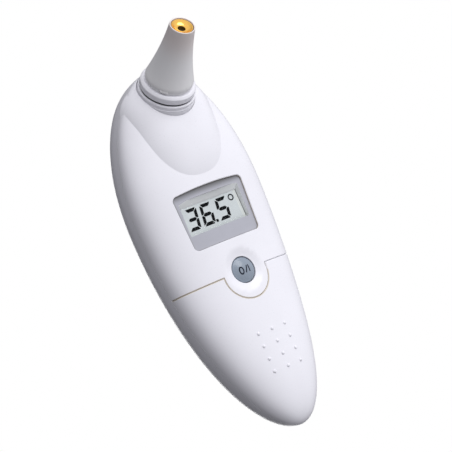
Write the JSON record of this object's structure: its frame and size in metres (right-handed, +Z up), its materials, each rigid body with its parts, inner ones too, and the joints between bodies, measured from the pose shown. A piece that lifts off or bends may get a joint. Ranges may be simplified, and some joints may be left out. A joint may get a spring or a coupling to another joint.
{
  "type": "infrared ear thermometer",
  "caption": "Slim egg-shaped infrared ear thermometer with a tilted conical probe, gold sensor cup, LCD window, power and scan buttons and sliding battery cover.",
  "frame": {"origin": "on the flat back that the handset rests on, under the power button", "axes": "+Z up, out of the face with the display; +Y along the handset to the head and probe; +X to the right seen from the face"},
  "size_m": [0.05, 0.1317, 0.0491],
  "materials": {
    "housing": "white moulded plastic, satin gloss with a faint lavender cast",
    "probe_shell": "white moulded plastic, satin, slightly warm at the tip",
    "lens": "clear moulded acrylic lens, polished",
    "bezel": "grey-lavender moulded plastic, satin",
    "lcd": "grey-green reflective liquid crystal cell",
    "reflector": "matt silver film",
    "holder": "natural moulded plastic",
    "elastomer": "striped conductive silicone",
    "button": "blue-grey satin plastic",
    "silicone": "translucent grey silicone",
    "board": "green solder mask",
    "chip": "black moulded epoxy",
    "steel": "nickel-plated steel",
    "ceramic": "tan ceramic with tinned ends",
    "beeper": "black moulded plastic",
    "cell": "stainless steel can",
    "tray": "white moulded plastic",
    "contact": "plated spring steel",
    "gold": "polished gold plating",
    "filter": "dark infrared filter",
    "heat_sink": "turned brass",
    "cable": "dark insulated lead",
    "connector": "natural nylon",
    "seal": "black elastomer",
    "label": "blank satin foil"
  },
  "bodies": {
    "handset": {"front_cover": "housing", "display_lens": "lens", "display_bezel": "bezel", "lcd_glass": "lcd", "lcd_reflector": "reflector", "lcd_holder": "holder", "zebra_strip": "elastomer", "main_pcb": "board", "microcontroller": "chip", "memory_chip": "chip", "crystal": "steel", "capacitor_1": "ceramic", "capacitor_2": "ceramic", "capacitor_3": "ceramic", "beeper": "beeper", "coin_cell": "cell", "battery_tray": "tray", "battery_contact_plus": "contact", "battery_contact_minus": "contact", "probe_cone": "probe_shell", "probe_flange_ring": "housing", "probe_seal": "seal", "neck_collar": "housing", "sensor_cup": "gold", "sensor_window": "filter", "sensor_can": "steel", "sensor_sleeve": "heat_sink", "sensor_cable": "cable", "sensor_connector": "connector", "pcb_screw_1": "steel", "pcb_screw_2": "steel", "rear_cover": "housing", "power_button_dome": "silicone", "scan_button_dome": "silicone", "rating_label": "label", "housing_screw_1": "steel", "housing_screw_2": "steel", "housing_screw_3": "steel", "housing_screw_4": "steel"},
    "power_button": {"power_button": "button"},
    "scan_button": {"scan_button": "button"},
    "battery_cover": {"battery_cover": "housing"}
  },
  "joints": [
    {"name": "power_button_press", "type": "slide", "parent": "handset", "child": "power_button", "axis": [0, 0, -1], "range_m": [0, 0.0008], "stiffness_N_per_m": 1500, "deforming": ["power_button_dome"]},
    {"name": "scan_button_press", "type": "slide", "parent": "handset", "child": "scan_button", "axis": [0, 0, 1], "range_m": [0, 0.0006], "stiffness_N_per_m": 2000, "deforming": ["scan_button_dome"]},
    {"name": "battery_cover_slide", "type": "slide", "parent": "handset", "child": "battery_cover", "axis": [0, -0.989, 0.1478], "range_m": [0, 0.062]}
  ]
}
